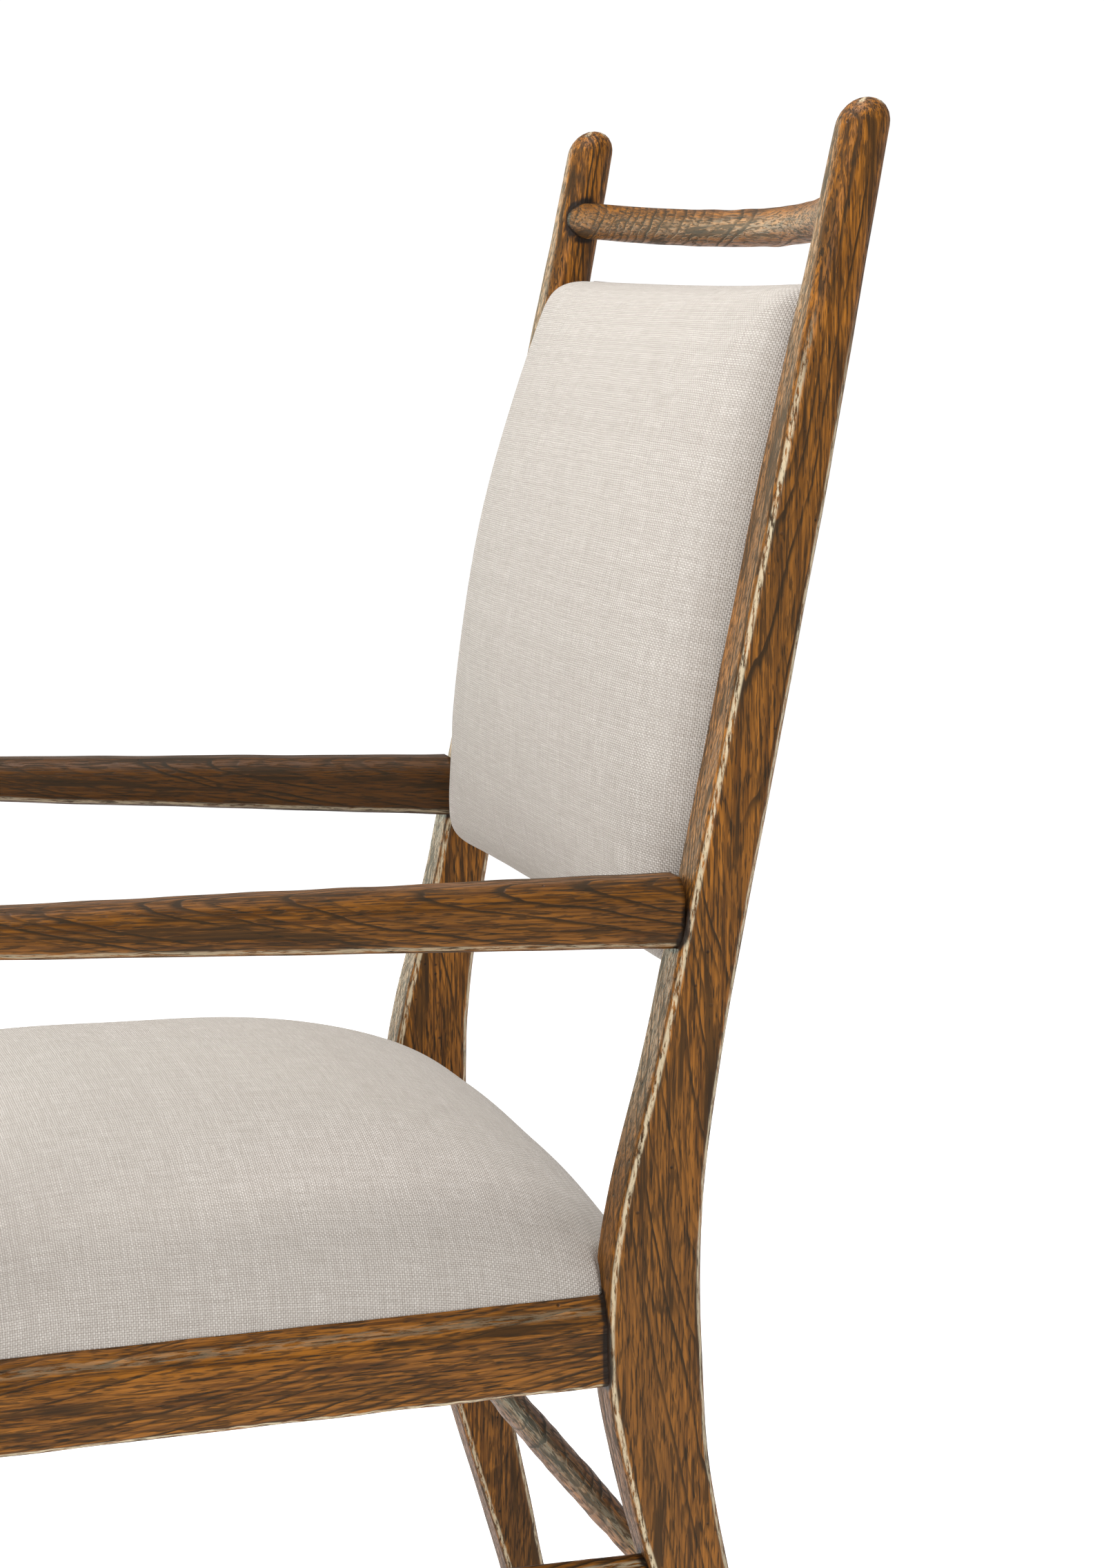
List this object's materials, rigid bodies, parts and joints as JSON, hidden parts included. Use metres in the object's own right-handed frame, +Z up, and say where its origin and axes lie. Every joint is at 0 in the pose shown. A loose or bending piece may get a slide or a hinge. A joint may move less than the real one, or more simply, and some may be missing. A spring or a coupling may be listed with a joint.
{
  "type": "armchair",
  "caption": "Open wooden armchair with raked rear posts, a bowed crest rod, an upholstered seat and a bowed upholstered back.",
  "frame": {"origin": "on the floor under the middle of the chair's box", "axes": "+Z up, +X to the sitter's left, -Y to the front"},
  "size_m": [0.6162, 0.6228, 1.1],
  "materials": {
    "stained_oak": "brown stain with dark glaze in the grain, rubbed edges, satin lacquer",
    "block_wood": "unfinished hardwood",
    "plywood": "unfinished plywood",
    "dust_cloth": "thin black lining cloth",
    "linen": "plain-weave linen",
    "dowel_wood": "unfinished beech",
    "screw_steel": "zinc plated",
    "glide_nylon": "moulded"
  },
  "bodies": {
    "root": {"rear_post_left": "stained_oak", "rear_post_right": "stained_oak", "crest_rail": "stained_oak", "arm_left": "stained_oak", "arm_right": "stained_oak", "front_leg_left": "stained_oak", "front_leg_right": "stained_oak", "side_seat_rail_left": "stained_oak", "side_seat_rail_right": "stained_oak", "front_seat_rail": "stained_oak", "rear_seat_rail": "stained_oak", "side_stretcher_left": "stained_oak", "side_stretcher_right": "stained_oak", "front_stretcher": "stained_oak", "rear_stretcher": "stained_oak", "corner_block_front_left": "block_wood", "corner_block_front_right": "block_wood", "corner_block_rear_left": "block_wood", "corner_block_rear_right": "block_wood", "seat_board": "plywood", "back_core": "plywood", "seat_dust_cover": "dust_cloth", "seat_cushion": "linen", "back_pad_front": "linen", "back_pad_rear": "linen", "arm_rear_dowels": "dowel_wood", "arm_front_dowels": "dowel_wood", "side_rail_dowels": "dowel_wood", "front_rail_dowels": "dowel_wood", "rear_rail_dowels": "dowel_wood", "back_bolts": "screw_steel", "corner_block_screws": "screw_steel", "seat_screws": "screw_steel", "foot_glide_rear_left": "glide_nylon", "foot_glide_rear_right": "glide_nylon", "foot_glide_front_left": "glide_nylon", "foot_glide_front_right": "glide_nylon"}
  },
  "joints": []
}
